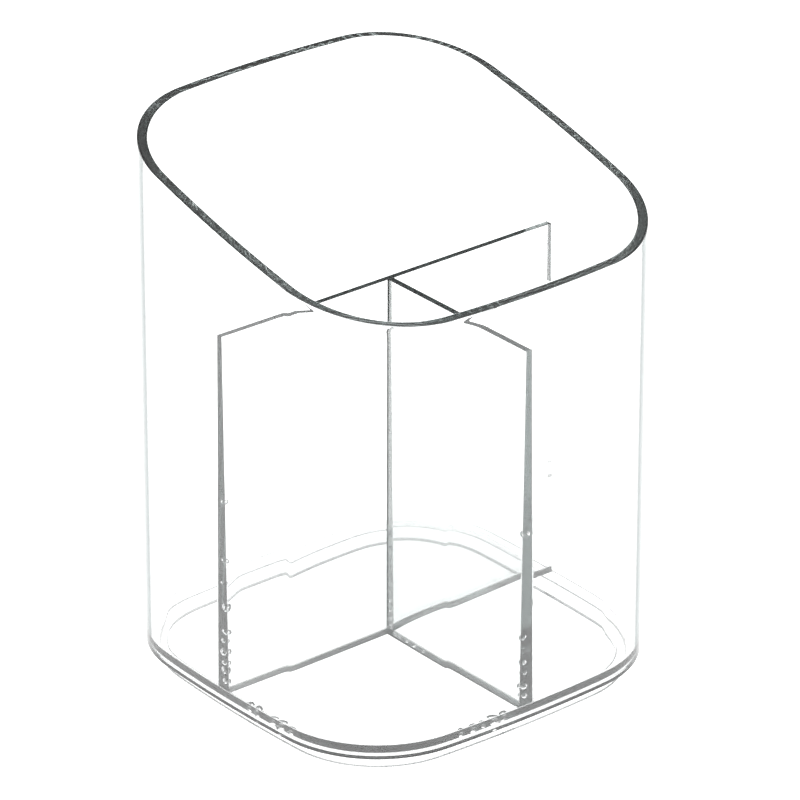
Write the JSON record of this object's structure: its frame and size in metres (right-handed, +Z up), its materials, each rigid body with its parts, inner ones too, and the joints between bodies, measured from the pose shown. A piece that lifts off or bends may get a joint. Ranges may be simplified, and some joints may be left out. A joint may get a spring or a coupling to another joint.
{
  "type": "pen holder cup",
  "caption": "Clear plastic desk cup with a rounded-square plan and slightly bowed sides, a slanted rim, a stepped foot and crossed dividers that part it into compartments.",
  "frame": {"origin": "on the resting surface, under the middle of the cup's plan outline", "axes": "+Z up; -Y faces out of the low wall, +Y out of the high wall; X runs along the long divider"},
  "size_m": [0.089, 0.088, 0.1198],
  "materials": {
    "clear_plastic": "clear, colourless, polished"
  },
  "bodies": {
    "root": {"cup_wall": "clear_plastic", "floor_plate": "clear_plastic", "foot_ring": "clear_plastic", "long_divider": "clear_plastic", "short_divider": "clear_plastic"}
  },
  "joints": []
}
